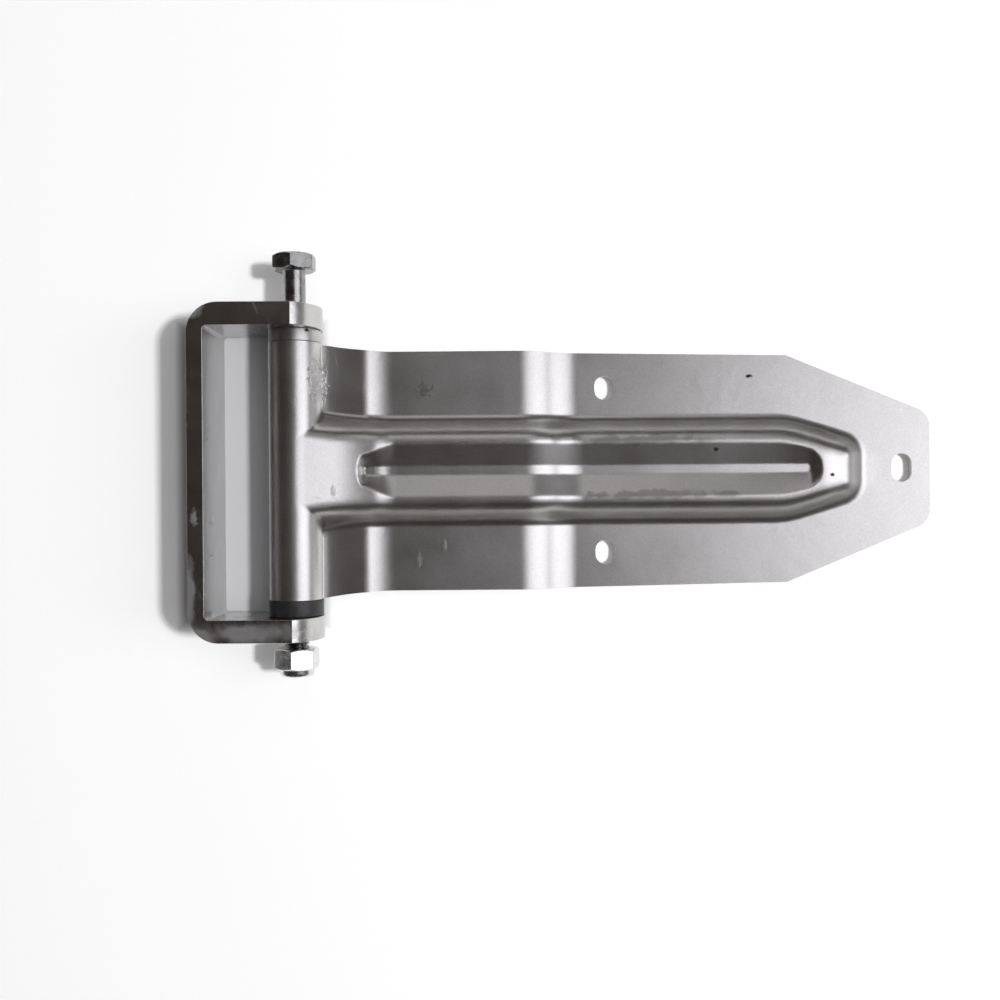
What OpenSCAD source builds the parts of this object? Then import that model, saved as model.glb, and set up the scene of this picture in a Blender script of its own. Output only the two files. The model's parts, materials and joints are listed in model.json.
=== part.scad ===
// Truck door hinge: a bent bar bracket, a pressed strap that turns on a long bolt,
// and the thrust pieces, bushes and lock nut that go with it.
// The origin is the middle of the bracket's back face, X runs along the strap,
// Y along the bolt towards its head, and Z up from the face that lies on the door.

/* [Bracket] */
// Width of the flat bar that the bracket is bent from
bar_w = 35; // [28:0.5:44]
// Thickness of the bracket's back web
web_t = 6.4; // [4:0.1:10]
// Thickness of each arm
arm_t = 9; // [6:0.5:14]
// Clear gap between the two arms
arm_gap = 115; // [108:1:150]
// Distance from the back face to the bolt's axis
pin_reach = 39.2; // [34:0.2:60]
// How far each arm runs past the bolt's axis
arm_nose = 11.2; // [8:0.2:16]
// Depth of the arc that ends each arm
nose_arc = 9.8; // [5:0.2:14]
// Radius outside each bend of the bracket
corner_r = 12; // [2:0.5:20]
// Radius inside each bend of the bracket
inner_r = 1.8; // [0.5:0.1:6]

/* [Bolt and nut] */
// Diameter of the bolt's thread
thread_d = 10; // [9.5:0.1:12]
// Diameter of the plain shank above the thread
shank_d = 9; // [7:0.1:9.4]
// Length of the thread
thread_len = 32; // [24:1:60]
// Width across the flats of the bolt's head
head_af = 16; // [15:0.5:19]
// Height of the bolt's head
head_h = 6.4; // [5:0.1:9]
// How far the loose bolt's head stands off the upper arm
head_gap = 15.1; // [1:0.1:25]
// Angle that the head is turned by
head_turn = 0; // [-30:1:30]
// Play of the bolt in the arms
bore_play = 0.5; // [0.2:0.1:1]
// Width across the flats of the lock nut
nut_af = 16; // [15:0.5:19]
// Height of the nut's hexagon
nut_hex_h = 8.4; // [6:0.1:11]
// Height of the round collar that holds the nut's ring
nut_collar_h = 3; // [2:0.1:5]
// Diameter of that collar
nut_collar_d = 14; // [13.4:0.1:15]
// Angle that the nut is turned by
nut_turn = -6; // [-30:1:30]
// How far the nut stands off the lower arm
nut_gap = 4; // [1:0.1:12]
// How far the bolt's end stops short of the nut's ring
bolt_short = 0.5; // [0.2:0.1:3]

/* [Barrel] */
// Diameter of the strap's rolled barrel
barrel_d = 21.2; // [19:0.2:24]
// Wall of the two bushes inside the barrel
bush_wall = 1.4; // [1:0.1:2]
// Length of each bush
bush_len = 30; // [12:1:45]
// Play between the bolt's thread and the bushes
bush_play = 0.2; // [0.1:0.05:0.5]
// Height of the steel collar above the barrel
collar_h = 5.2; // [3:0.1:10]
// Diameter of the steel collar
collar_d = 21; // [16:0.2:24]
// Height of the plastic washer below the barrel
washer_h = 6.6; // [3:0.1:12]
// Diameter of the plastic washer
washer_d = 22; // [16:0.2:26]
// Running gap at each end of the barrel
end_play = 0.1; // [0.05:0.05:0.4]

/* [Strap] */
// Length from the bolt's axis to the strap's tip
strap_len = 261.7; // [230:1:320]
// Thickness of the pressed sheet
sheet_t = 4; // [3:0.1:5]
// Width along the straight sides
strap_w = 98; // [92:0.5:104]
// Width at the shoulders, where the tip starts to narrow
shoulder_w = 94.5; // [88:0.5:100]
// Distance from the shoulders to the tip
shoulder_back = 59.7; // [54:0.5:70]
// Angle of the sloping edges at the tip
tip_angle = 22.5; // [14:0.5:26]
// Radius of the two corners at the tip
tip_r = 8; // [3:0.5:12]
// Depth of the flanges' top below the bolt's axis, up to the step
flange_drop = 6.6; // [4.5:0.1:7.5]
// How much higher the flanges lie beside the barrel
root_lift = 1.6; // [0.5:0.1:3]
// Height of the low bead across the flanges
bead_h = 2.3; // [1.8:0.1:3.4]
// Distance from the bolt's axis to the top of the bead
bead_x = 27.4; // [25:0.1:32]
// Steepness of the bead's far side
bead_angle = 16; // [12:1:24]
// Distance from the bolt's axis to the step in the strap
step_x = 96.6; // [80:0.5:105]
// Steepness of the step
step_angle = 29.4; // [25:0.1:45]

/* [Rib] */
// Height of the rib above the flanges
rib_h = 8.1; // [6.5:0.1:9]
// Width of the rib at its foot
rib_w = 42.6; // [38:0.1:48]
// Width of each sloping wall of the rib
wall_run = 6.2; // [5.4:0.1:7.5]
// Distance from the rib's foot to its crest
crest_in = 10.1; // [9.4:0.1:11]
// How much lower the wall's top edge is than the crest
edge_drop = 0.75; // [0.4:0.05:1.2]
// Depth of the trough between the two crests
trough_h = 3; // [1.5:0.1:3.5]
// Width of the flat floor of the trough
groove_w = 4.6; // [3:0.1:6]
// Distance from the barrel's axis to the end of the plateau beside it
plateau_len = 25; // [22:0.5:28]
// Slope of that plateau
plateau_angle = 15; // [3:0.5:18]
// Steepness of the ramp from the plateau down to the rib
ramp_angle = 14.5; // [12:0.5:40]
// How much later the rib steps down than the flanges
rib_lag = 2.6; // [0:0.1:4]
// Distance from the rib's end to the strap's tip
rib_back = 28.2; // [25:0.5:36]
// Angle at which the rib narrows past the shoulders
rib_taper = 16.5; // [10:0.5:20]
// Radius of the two corners at the rib's end
rib_corner = 9.5; // [6:0.5:11]
// Distance from the end of the trough to the strap's tip
trough_back = 52; // [48:0.5:60]

/* [Slots] */
// Distance from the bolt's axis to the pair of slots
slot_x = 126.2; // [122:0.2:160]
// Distance between the two slots of the pair
slot_gap = 68.3; // [62:0.1:74]
// Width of the slots of the pair
slot_w = 8.1; // [6:0.1:9]
// Length of the slots of the pair
slot_l = 9.9; // [9.2:0.1:13]
// Distance from the single slot to the strap's tip
end_slot_back = 11.8; // [9:0.1:15]
// Width of the single slot
end_slot_w = 8.4; // [6:0.1:10]
// Length of the single slot
end_slot_l = 11.8; // [10.2:0.1:16]

/* [Hidden] */
$fn = 96;

steel = [0.68, 0.67, 0.66];
bright_steel = [0.80, 0.80, 0.80];
black_plastic = [0.07, 0.07, 0.07];
natural_plastic = [0.88, 0.87, 0.82];

// cutters run this far past the faces that they cut
past = 1;
// depth by which a piece that is fused to another starts inside it
bite = 0.1;

// bracket
arm_out = arm_gap / 2 + arm_t;
arm_end = pin_reach + arm_nose;
nose_corner = arm_end - nose_arc;
nose_r = (pow(bar_w / 2, 2) + pow(nose_arc, 2)) / (2 * nose_arc);
arm_bore = thread_d + bore_play;

// the stack between the arms, from the lower arm up
barrel_r = barrel_d / 2;
barrel_len = arm_gap - collar_h - washer_h - 2 * end_play;
barrel_y = (washer_h - collar_h) / 2;
barrel_top = barrel_y + barrel_len / 2;
barrel_bottom = barrel_y - barrel_len / 2;
bush_bore = thread_d + bush_play;
barrel_bore = bush_bore + 2 * bush_wall;
seam_w = 0.8;
seam_h = 0.6;
seam_angle = 24;

// bolt and nut
head_under = arm_out + head_gap;
bolt_len = head_gap + 2 * arm_t + arm_gap + nut_gap + nut_hex_h - bolt_short;
bolt_end = head_under - bolt_len;
end_chamfer = 1;
hex_chamfer_angle = 30;
hex_chamfer_in = 0.4;
nut_top = -arm_out - nut_gap;
ring_top = nut_top - nut_hex_h;
nut_bore = thread_d + 0.04;
ring_bore = shank_d + 0.2;
ring_wall = 1.3;
collar_lip = 0.5;
lip_round = 1.2;

// strap outline
barrel_half = barrel_len / 2;
strap_half = strap_w / 2;
flare_len = 28;
flare_start = barrel_r + 1.4;
shoulder_x = strap_len - shoulder_back;
tip_half = shoulder_w / 2 - shoulder_back * tan(tip_angle);
corner_turn = 90 - tip_angle;
corner_run = tip_r * tan(corner_turn / 2);
corner_x = strap_len - corner_run * cos(tip_angle);
corner_y = tip_half - corner_run;

// lines that the sheet's top follows: place, height and half length of the bend
bend = 2.5;
foot_bend = 4.5;
bead_foot_bend = 6;
root_len = 17;
step_drop = bar_w / 2 - sheet_t - flange_drop;
step_run = step_drop / tan(step_angle);
step_bend = 0.47 * step_run;
flange_line = [
    [0, root_lift - flange_drop, 0],
    [root_len, root_lift - flange_drop, bend],
    [bead_x, bead_h - flange_drop, bend],
    [bead_x + bead_h / tan(bead_angle), -flange_drop, bead_foot_bend],
    [step_x, -flange_drop, step_bend],
    [step_x + step_run, -flange_drop - step_drop, step_bend],
    [strap_len + past, -flange_drop - step_drop, 0]
];
crest_z = rib_h - flange_drop;
// the plateau lies a hair inside the barrel's top where the two meet
plateau_start = barrel_r / cos(plateau_angle) - 0.1;
plateau_end = plateau_start - plateau_len * tan(plateau_angle);
ramp_foot = plateau_len + (plateau_end - crest_z) / tan(ramp_angle);
rib_end = strap_len - rib_back;
nose_run = 16.5;
nose_angle = 11;
crest_line = [
    [0, plateau_start, 0],
    [plateau_len, plateau_end, bend],
    [ramp_foot, crest_z, foot_bend],
    [step_x + rib_lag, crest_z, step_bend],
    [step_x + rib_lag + step_run, crest_z - step_drop, step_bend],
    [rib_end - nose_run, crest_z - step_drop, bend],
    [rib_end, crest_z - step_drop - nose_run * tan(nose_angle), 0]
];

// the rib's wall, by the distance inside the rib's foot
rib_half = rib_w / 2;
rib_flare = 4;
rib_flare_len = 34;
wall_line = [
    [-wall_run, 0, 0],
    [0, 0, 2],
    [wall_run, rib_h - edge_drop, 2.2],
    [crest_in, rib_h, 1.6],
    [rib_half, rib_h, 0]
];
rib_corner_x = rib_end - rib_corner;
rib_corner_y = rib_half
    - (rib_corner + sin(rib_taper) * (rib_corner_x - shoulder_x)) / cos(rib_taper);
rib_blend = 2;

// trough between the crests
groove_half = groove_w / 2;
trough_slope = trough_h / (rib_half - crest_in - groove_half);
trough_start = plateau_len + 0.5;
trough_full = ramp_foot + 1.3;
trough_end = strap_len - trough_back;
trough_end_steep = 1.5;
trough_ease = 0.8;

// slots
end_slot_x = strap_len - end_slot_back;

// The joining of two straight runs, eased over the half length e on each side.
function ramp(u, e) = u <= -e ? 0 : u >= e ? u : pow(u + e, 2) / (4 * e);
function slope(p, i) = (p[i + 1].y - p[i].y) / (p[i + 1].x - p[i].x);
function total(v, i = 0) = i < len(v) ? v[i] + total(v, i + 1) : 0;

// Height at x of a line of straight runs with eased bends.
function eased(x, p) = p[0].y + slope(p, 0) * (x - p[0].x) + total([
    for (i = [1 : len(p) - 2])
        (slope(p, i) - slope(p, i - 1)) * ramp(x - p[i].x, p[i].z)
]);

// The same line moved down through a sheet of thickness t, square to each run.
function below(p, t) = [
    for (i = [0 : len(p) - 1])
        let (before = atan(slope(p, max(i - 1, 0))),
             after = atan(slope(p, min(i, len(p) - 2))),
             middle = (before + after) / 2,
             half = (after - before) / 2)
        [p[i].x + t * sin(middle) / cos(half),
         p[i].y - t * cos(middle) / cos(half),
         max(0.4, p[i].z + t * tan(half) * cos(middle))]
];

function smooth_min(a, b, k) = min(a, b) - pow(max(k - abs(a - b), 0), 2) / (4 * k);

// Half width of the strap's outline.
function outline(x) =
    x <= flare_start + flare_len
        ? strap_half + (barrel_half - strap_half)
            * pow(min(1, (flare_start + flare_len - x) / flare_len), 2)
    : x <= step_x ? strap_half
    : x <= shoulder_x
        ? strap_half + (shoulder_w / 2 - strap_half) * (x - step_x) / (shoulder_x - step_x)
    : x <= corner_x ? shoulder_w / 2 - (x - shoulder_x) * tan(tip_angle)
    : corner_y + sqrt(max(0, pow(tip_r, 2) - pow(x - strap_len + tip_r, 2)));

// Distance inside the rib's foot, negative outside it.
function rib_inside(x, y) =
    let (side = rib_half + rib_flare * pow(max(0, 1 - x / rib_flare_len), 2) - abs(y),
         taper = cos(rib_taper) * (rib_half - abs(y)) - sin(rib_taper) * (x - shoulder_x),
         across = x - rib_corner_x,
         up = abs(y) - rib_corner_y,
         in_corner = up > 0 && across * cos(rib_taper) > up * sin(rib_taper),
         end = in_corner ? rib_corner - norm([across, up]) : min(taper, rib_end - x))
    smooth_min(side, end, rib_blend);

// Depth of the trough below the crests, with its floor widened by the given amount.
function trough(x, y, wider) =
    let (share = min(1, max(0, (x - trough_start) / (trough_full - trough_start))),
         away = norm([trough_end_steep * max(0, x - trough_end), y]) - groove_half - wider)
    ramp(trough_h * share - trough_slope * ramp(away, trough_ease), trough_ease * trough_slope);

// Places along the strap and across it where the sheet's surfaces are worked out.
function spread(a, b, n) = [for (i = [0 : n]) a + (b - a) * i / n];
stations_x = concat(
    spread(0, ramp_foot + foot_bend, 28),
    spread(step_x - step_bend, step_x + step_run + rib_lag + step_bend, 16),
    spread(shoulder_x - 3, rib_end + 1.5, 22),
    spread(corner_x, strap_len, 4)
);
stations_y = concat(
    [for (b = [0, wall_run, crest_in], s = [-1.4, 0, 1.4]) rib_half - b - s],
    [rib_half - wall_run / 2, groove_half + 4, groove_half + 1, groove_half, groove_half / 2]
);
// from the outside in, without the outline itself
half_stations = [for (i = [0 : 2], k = [0 : 2]) stations_y[3 * i + k]];
ordered = concat(
    [half_stations[0], half_stations[1], half_stations[2], stations_y[9]],
    [for (i = [3 : 8]) half_stations[i]],
    [for (i = [10 : 13]) stations_y[i]]
);
// the stations close in on the rib as it narrows
function narrowing(x) =
    max(rib_half - max(0, min(x, rib_end) - shoulder_x) * tan(rib_taper), 1) / rib_half;
function across(x) = concat(
    [-outline(x)], [for (y = ordered) -y * narrowing(x)], [0],
    [for (i = [len(ordered) - 1 : -1 : 0]) ordered[i] * narrowing(x)], [outline(x)]
);

// One face of the sheet as a grid of points: the top, or the underside when under is true.
function sheet_face(under) =
    let (t = under ? sheet_t : 0,
         flange = under ? below(flange_line, t) : flange_line,
         crest = under ? below(crest_line, t) : crest_line,
         wall = under ? below(wall_line, t) : wall_line,
         wider = t * tan(atan(trough_slope) / 2))
    [for (x = stations_x)
        let (low = eased(x, flange), high = eased(x, crest))
        for (y = across(x))
            [pin_reach + x, barrel_y + y, low
                + (high - low) * (eased(rib_inside(x, y), wall) + t) / rib_h
                - trough(x, y, wider)]];

function halves(a, b, c, d) = [[a, b, c], [a, c, d]];

module pressed_sheet() {
    rows = len(stations_x) - 1;
    n = len(across(0));
    cols = n - 1;
    under = len(stations_x) * n;
    faces = concat(
        [for (i = [0 : rows - 1], j = [0 : cols - 1])
            each halves(i * n + j, i * n + j + 1, (i + 1) * n + j + 1, (i + 1) * n + j)],
        [for (i = [0 : rows - 1], j = [0 : cols - 1])
            each halves(under + i * n + j, under + (i + 1) * n + j,
                        under + (i + 1) * n + j + 1, under + i * n + j + 1)],
        [for (i = [0 : rows - 1])
            each halves(i * n, (i + 1) * n, under + (i + 1) * n, under + i * n)],
        [for (i = [0 : rows - 1])
            each halves((i + 1) * n + cols, i * n + cols,
                        under + i * n + cols, under + (i + 1) * n + cols)],
        [for (j = [0 : cols - 1])
            each halves(j + 1, j, under + j, under + j + 1)],
        [for (j = [0 : cols - 1])
            each halves(rows * n + j, rows * n + j + 1,
                        under + rows * n + j + 1, under + rows * n + j)]
    );
    polyhedron(concat(sheet_face(false), sheet_face(true)), faces);
}

// A rod or tube along the bolt's axis, from one height to another.
module on_pin(from, to, d1, d2 = 0) {
    translate([pin_reach, from, 0])
        rotate([-90, 0, 0])
            cylinder(h = to - from, d1 = d1, d2 = d2 == 0 ? d1 : d2);
}

module ring_on_pin(from, to, outside, inside) {
    difference() {
        on_pin(from, to, outside);
        on_pin(from - past, to + past, inside);
    }
}

// A hexagon along the bolt's axis, with the corners turned off at the ends that are asked for.
module hexagon_on_pin(from, to, af, turn, chamfer_low, chamfer_high) {
    face_d = af - hex_chamfer_in;
    corner_d = af / cos(30);
    fall = (corner_d - face_d) / 2 * tan(hex_chamfer_angle);
    intersection() {
        translate([pin_reach, from, 0])
            rotate([-90, 0, 0])
                rotate(turn + 30)
                    cylinder(h = to - from, d = corner_d, $fn = 6);
        union() {
            on_pin(from + (chamfer_low ? fall : 0), to - (chamfer_high ? fall : 0), corner_d + bite);
            if (chamfer_low)
                on_pin(from, from + fall, face_d, corner_d);
            if (chamfer_high)
                on_pin(to - fall, to, corner_d, face_d);
        }
    }
}

// A bar across the sheet with round ends, for cutting a slot that is long in Y.
module slot_cut(x, y, w, l) {
    translate([x, y, -bar_w / 2 - past])
        for (end = [-1, 1])
            translate([0, end * (l - w) / 2, 0])
                cylinder(h = bar_w, d = w);
    translate([x - w / 2, y - (l - w) / 2, -bar_w / 2 - past])
        cube([w, l - w, bar_w]);
}

// A rectangle that starts at the back face, with two round corners there.
module round_back(start, length, height, r) {
    translate([start + r, -height / 2])
        square([length - r, height]);
    translate([start, -height / 2 + r])
        square([length, height - 2 * r]);
    for (side = [-1, 1])
        translate([start + r, side * (height / 2 - r)])
            circle(r);
}

module bracket() {
    color(steel)
        difference() {
            intersection() {
                linear_extrude(bar_w, center = true)
                    difference() {
                        round_back(0, arm_end, 2 * arm_out, corner_r);
                        round_back(web_t, arm_end, arm_gap, inner_r);
                    }
                rotate([90, 0, 0])
                    linear_extrude(2 * arm_out + 2 * past, center = true) {
                        translate([-past, -bar_w / 2 - past])
                            square([nose_corner + past, bar_w + 2 * past]);
                        intersection() {
                            translate([arm_end - nose_r, 0])
                                circle(nose_r, $fn = 180);
                            translate([nose_corner - past, -bar_w / 2 - past])
                                square([nose_arc + 2 * past, bar_w + 2 * past]);
                        }
                    }
            }
            on_pin(-arm_out - past, arm_out + past, arm_bore);
        }
}

module strap() {
    color(steel)
        difference() {
            union() {
                pressed_sheet();
                on_pin(barrel_bottom, barrel_top, barrel_d);
            }
            on_pin(barrel_bottom - past, barrel_top + past, barrel_bore);
            for (side = [-1, 1])
                slot_cut(pin_reach + slot_x, barrel_y + side * slot_gap / 2, slot_w, slot_l);
            slot_cut(pin_reach + end_slot_x, barrel_y, end_slot_w, end_slot_l);
            // the closed seam of the rolled barrel, under the strap
            translate([pin_reach, barrel_y, 0])
                rotate([0, seam_angle, 0])
                    translate([barrel_r - seam_h, -barrel_len / 2 - past, -seam_w / 2])
                        cube([seam_h + past, barrel_len + 2 * past, seam_w]);
        }
}

module thrust_collar() {
    color(bright_steel)
        ring_on_pin(arm_gap / 2 - collar_h, arm_gap / 2, collar_d, arm_bore);
}

module thrust_washer() {
    color(black_plastic)
        ring_on_pin(barrel_bottom - washer_h, barrel_bottom, washer_d, bush_bore);
}

module upper_bush() {
    color(natural_plastic)
        ring_on_pin(barrel_top - bush_len, barrel_top, barrel_bore, bush_bore);
}

module lower_bush() {
    color(natural_plastic)
        ring_on_pin(barrel_bottom, barrel_bottom + bush_len, barrel_bore, bush_bore);
}

module hinge_bolt() {
    color(bright_steel) {
        hexagon_on_pin(head_under, head_under + head_h, head_af, head_turn, false, true);
        on_pin(bolt_end + thread_len, head_under + bite, shank_d);
        on_pin(bolt_end + end_chamfer, bolt_end + thread_len + bite, thread_d);
        on_pin(bolt_end, bolt_end + end_chamfer, thread_d - 2 * end_chamfer, thread_d);
    }
}

module lock_nut() {
    color(bright_steel)
        difference() {
            union() {
                hexagon_on_pin(ring_top, nut_top, nut_af, nut_turn, true, true);
                on_pin(ring_top - nut_collar_h + lip_round, ring_top + bite, nut_collar_d);
                on_pin(ring_top - nut_collar_h, ring_top - nut_collar_h + lip_round,
                       nut_collar_d - 2 * lip_round, nut_collar_d);
            }
            on_pin(ring_top - nut_collar_h - past, nut_top + past, nut_bore);
            on_pin(ring_top - nut_collar_h + collar_lip, ring_top, nut_collar_d - 2 * ring_wall);
        }
}

module nut_insert() {
    color(natural_plastic)
        ring_on_pin(ring_top - nut_collar_h + collar_lip, ring_top,
                    nut_collar_d - 2 * ring_wall, ring_bore);
}

bracket();
strap();
thrust_collar();
thrust_washer();
upper_bush();
lower_bush();
hinge_bolt();
lock_nut();
nut_insert();
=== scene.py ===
import json
import math

import bpy
import bmesh
import numpy as np
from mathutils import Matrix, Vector


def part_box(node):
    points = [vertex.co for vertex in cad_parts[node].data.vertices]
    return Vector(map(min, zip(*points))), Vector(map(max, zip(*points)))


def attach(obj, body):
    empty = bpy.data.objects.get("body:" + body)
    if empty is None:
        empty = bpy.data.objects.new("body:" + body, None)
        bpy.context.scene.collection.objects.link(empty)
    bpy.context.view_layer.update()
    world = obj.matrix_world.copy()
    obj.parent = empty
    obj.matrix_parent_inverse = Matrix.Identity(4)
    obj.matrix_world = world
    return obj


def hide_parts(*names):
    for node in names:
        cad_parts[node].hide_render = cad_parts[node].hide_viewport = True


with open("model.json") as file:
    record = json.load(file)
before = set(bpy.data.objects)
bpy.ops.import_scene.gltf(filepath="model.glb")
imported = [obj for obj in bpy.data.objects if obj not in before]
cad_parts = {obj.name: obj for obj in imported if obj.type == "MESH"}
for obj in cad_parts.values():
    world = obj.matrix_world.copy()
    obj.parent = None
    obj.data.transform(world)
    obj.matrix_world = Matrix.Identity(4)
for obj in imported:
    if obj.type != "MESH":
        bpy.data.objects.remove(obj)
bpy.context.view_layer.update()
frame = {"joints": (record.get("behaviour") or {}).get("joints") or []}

MM = 0.001


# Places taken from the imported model, in millimetres

def joint(name):
    """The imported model's joint of that name."""
    return next(j for j in frame["joints"] if j["name"] == name)


def box_mm(node):
    """The lowest and the highest corner of a node's solid."""
    low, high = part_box(node)
    return [v / MM for v in low], [v / MM for v in high]


BRACKET_LOW, BRACKET_HIGH = box_mm("bracket")
STRAP_LOW, STRAP_HIGH = box_mm("strap")
COLLAR_LOW, COLLAR_HIGH = box_mm("thrust_collar")
WASHER_LOW, WASHER_HIGH = box_mm("thrust_washer")
UPPER_LOW, UPPER_HIGH = box_mm("upper_bush")
LOWER_LOW, LOWER_HIGH = box_mm("lower_bush")
BOLT_LOW, BOLT_HIGH = box_mm("hinge_bolt")
NUT_LOW, NUT_HIGH = box_mm("lock_nut")
INSERT_LOW, INSERT_HIGH = box_mm("nut_insert")

PIN_X = joint("strap_swing")["pos_m"][0] / MM
TABLE_Z = BRACKET_LOW[2]
BAR_W = BRACKET_HIGH[2] - BRACKET_LOW[2]
ARM_OUT = BRACKET_HIGH[1]
ARM_END = BRACKET_HIGH[0]
BARREL_TOP = STRAP_HIGH[1]
BARREL_BOTTOM = STRAP_LOW[1]
BARREL_Y = (BARREL_TOP + BARREL_BOTTOM) / 2
BARREL_HALF = (BARREL_TOP - BARREL_BOTTOM) / 2
STRAP_LEN = STRAP_HIGH[0] - PIN_X
ARM_GAP_HALF = COLLAR_HIGH[1]

# Bracket
WEB_T = 6.4
NOSE_ARC = 9.8
CORNER_R = 12
INNER_R = 1.8
ARM_BORE_D = 10.5
BAR_EDGE = 0.55

# Barrel, bushes and thrust pieces
BARREL_R = 10.6
BORE_R = 6.5
BUSH_BORE_R = 5.1
SEAM_ANGLE = math.radians(-24)
SEAM_HALF = 0.045
SEAM_DEPTH = 0.6

# Strap
SHEET_T = 4
STRAP_HALF = 49
SHOULDER_HALF = 47.25
SHOULDER_X = STRAP_LEN - 59.7
TIP_ANGLE = math.radians(22.5)
TIP_R = 8
FLARE_START = BARREL_R + 1.4
FLARE_LEN = 28
FLANGE_DROP = 6.6
ROOT_LIFT = 1.6
ROOT_LEN = 17
BEAD_H = 2.2
BEAD_X = 28
BEAD_ANGLE = math.radians(19)
STEP_X = 96.6
STEP_ANGLE = math.radians(29.4)
BEND = 2.5
BEAD_BEND = 1.9
BEAD_FOOT_BEND = 4.6

# Rib
RIB_H = 8.1
RIB_HALF = 21.3
WALL_RUN = 6.2
CREST_IN = 10.1
EDGE_DROP = 0.75
TROUGH_H = 3
GROOVE_HALF = 1.8
PLATEAU_LEN = 22.5
PLATEAU_ANGLE = math.radians(16.5)
PLATEAU_BEND = 6
EASY_LEN = 10.5
EASY_ANGLE = math.radians(6.5)
EASY_BEND = 1.6
RAMP_ANGLE = math.radians(17)
FOOT_BEND = 2.6
RIB_LAG = 2.6
RIB_END = STRAP_LEN - 28.2
RIB_TAPER = math.radians(16.5)
RIB_CORNER = 9.5
RIB_FLARE = 4
RIB_FLARE_LEN = 34
RIB_BLEND = 2
NOSE_RUN = 16.5
NOSE_ANGLE = math.radians(11)
TROUGH_END = STRAP_LEN - 52
TROUGH_END_STEEP = 1.5
TROUGH_EASE = 0.5
TROUGH_EDGE_EASE = 0.9
TROUGH_START = 28.2
TROUGH_START_STEEP = 2.4
TROUGH_START_H = 3.9
TROUGH_START_HALF = 6.2
TROUGH_END_RUN = 16
TROUGH_END_MARGIN = 2
TROUGH_FULL_PAST = 1.3
PLATEAU_SINK = 0.1
WALL_FOOT_EASE = 2
WALL_TOP_EASE = 2.2
CREST_EDGE_EASE = 1.6
LEAST_EASE = 0.4
STEP_BEND_SHARE = 0.47

# Slots: place along the strap, place across it, width and length
SLOTS = [(126.2, 34.15, 8.1, 9.9), (126.2, -34.15, 8.1, 9.9), (STRAP_LEN - 11.8, 0, 8.4, 11.8)]

# Bolt and nut
THREAD_R = 5
SHANK_R = 4.5
THREAD_LEN = 32
PITCH = 1.5
HEAD_AF = 16
HEAD_H = 6.4
HEAD_TURN = math.radians(30)
NUT_AF = 16
NUT_HEX_H = 8.4
NUT_TURN = math.radians(24)
NUT_COLLAR_R = 7
HEX_CHAMFER = math.radians(30)
HEX_FACE_IN = 0.25
HEX_CORNER_R = 0.5
HEX_EDGE = 0.12
HEAD_CORE_R = 0.02
SHANK_CORE_R = 0.01
SHANK_SINK = 0.5
# Distance below the head, and how much wider the shank is there
HEAD_FILLET = [(0.6, 0), (0.25, 0.1), (-0.05, 0.5)]
THREAD_DEPTH_SHARE = 0.61
THREAD_FLANK = 1.25
THREAD_ROOT = 0.12
THREAD_POINT_CUT = 0.9
THREAD_POINT_LEN = 1
THREAD_RUN_IN = 1.2
THREAD_RUN_OUT = 2.5
THREAD_END_DEPTH = 0.35
NUT_FIT = 0.02
NUT_SEAT = 1.2
NUT_COLLAR_ROUND = 1.6
NUT_COLLAR_OVER = 0.15
NUT_COLLAR_SINK = 0.1
NUT_COLLAR_WALL = 1.3
NUT_LIP_IN = 1.9
NUT_LIP_T = 0.5

# How finely the rounds, the sheet and the hexagons are divided
TURN_STEPS = 96
BORE_STEPS = 64
BARREL_STEPS = 72
CORNER_STEPS = 16
INNER_STEPS = 8
NOSE_STEPS = 40
SLOT_STEPS = 24
EDGE_STEPS = 4
NEAR_STEPS = 80
TIP_STEPS = 12
THREAD_TURN_STEPS = 72
THREAD_STEPS = 8
HEX_SHARES = (0, 0.012, 0.024, 0.036, 0.06, 0.12, 0.2, 0.3, 0.4, 0.5, 0.6, 0.7, 0.8, 0.88,
              0.94, 0.964, 0.976, 0.988)

# How near points are welded, how thin slivers are dropped, and how far cutters stand out
WELD = 0.002
SLIVER = 0.001
CUT_MARGIN = 1


# The pressed sheet's shape, as in the part's own source, with a narrower start and end to the trough

def ramp(u, e):
    """Nothing below zero and u above it, eased over e on both sides."""
    return np.where(u <= -e, 0, np.where(u >= e, u, (u + e) ** 2 / (4 * np.maximum(e, 1e-9))))


def slopes(line):
    """The slope of each part of a profile line."""
    return [(b[1] - a[1]) / (b[0] - a[0]) for a, b in zip(line, line[1:])]


def eased(x, line):
    """Height at x of a profile line of (x, height, ease), its bends eased."""
    s = slopes(line)
    z = line[0][1] + s[0] * (x - line[0][0])
    for i in range(1, len(line) - 1):
        z = z + (s[i] - s[i - 1]) * ramp(x - line[i][0], line[i][2])
    return z


def below(line, t):
    """A profile line moved down square to itself by t, its bends eased to keep the sheet's thickness."""
    s = [math.atan(v) for v in slopes(line)]
    moved = []
    for i, (x, z, ease) in enumerate(line):
        before, after = s[max(i - 1, 0)], s[min(i, len(s) - 1)]
        middle, half = (before + after) / 2, (after - before) / 2
        moved.append((
            x + t * math.sin(middle) / math.cos(half),
            z - t * math.cos(middle) / math.cos(half),
            max(LEAST_EASE, ease + t * math.tan(half) * math.cos(middle)),
        ))
    return moved


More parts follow.
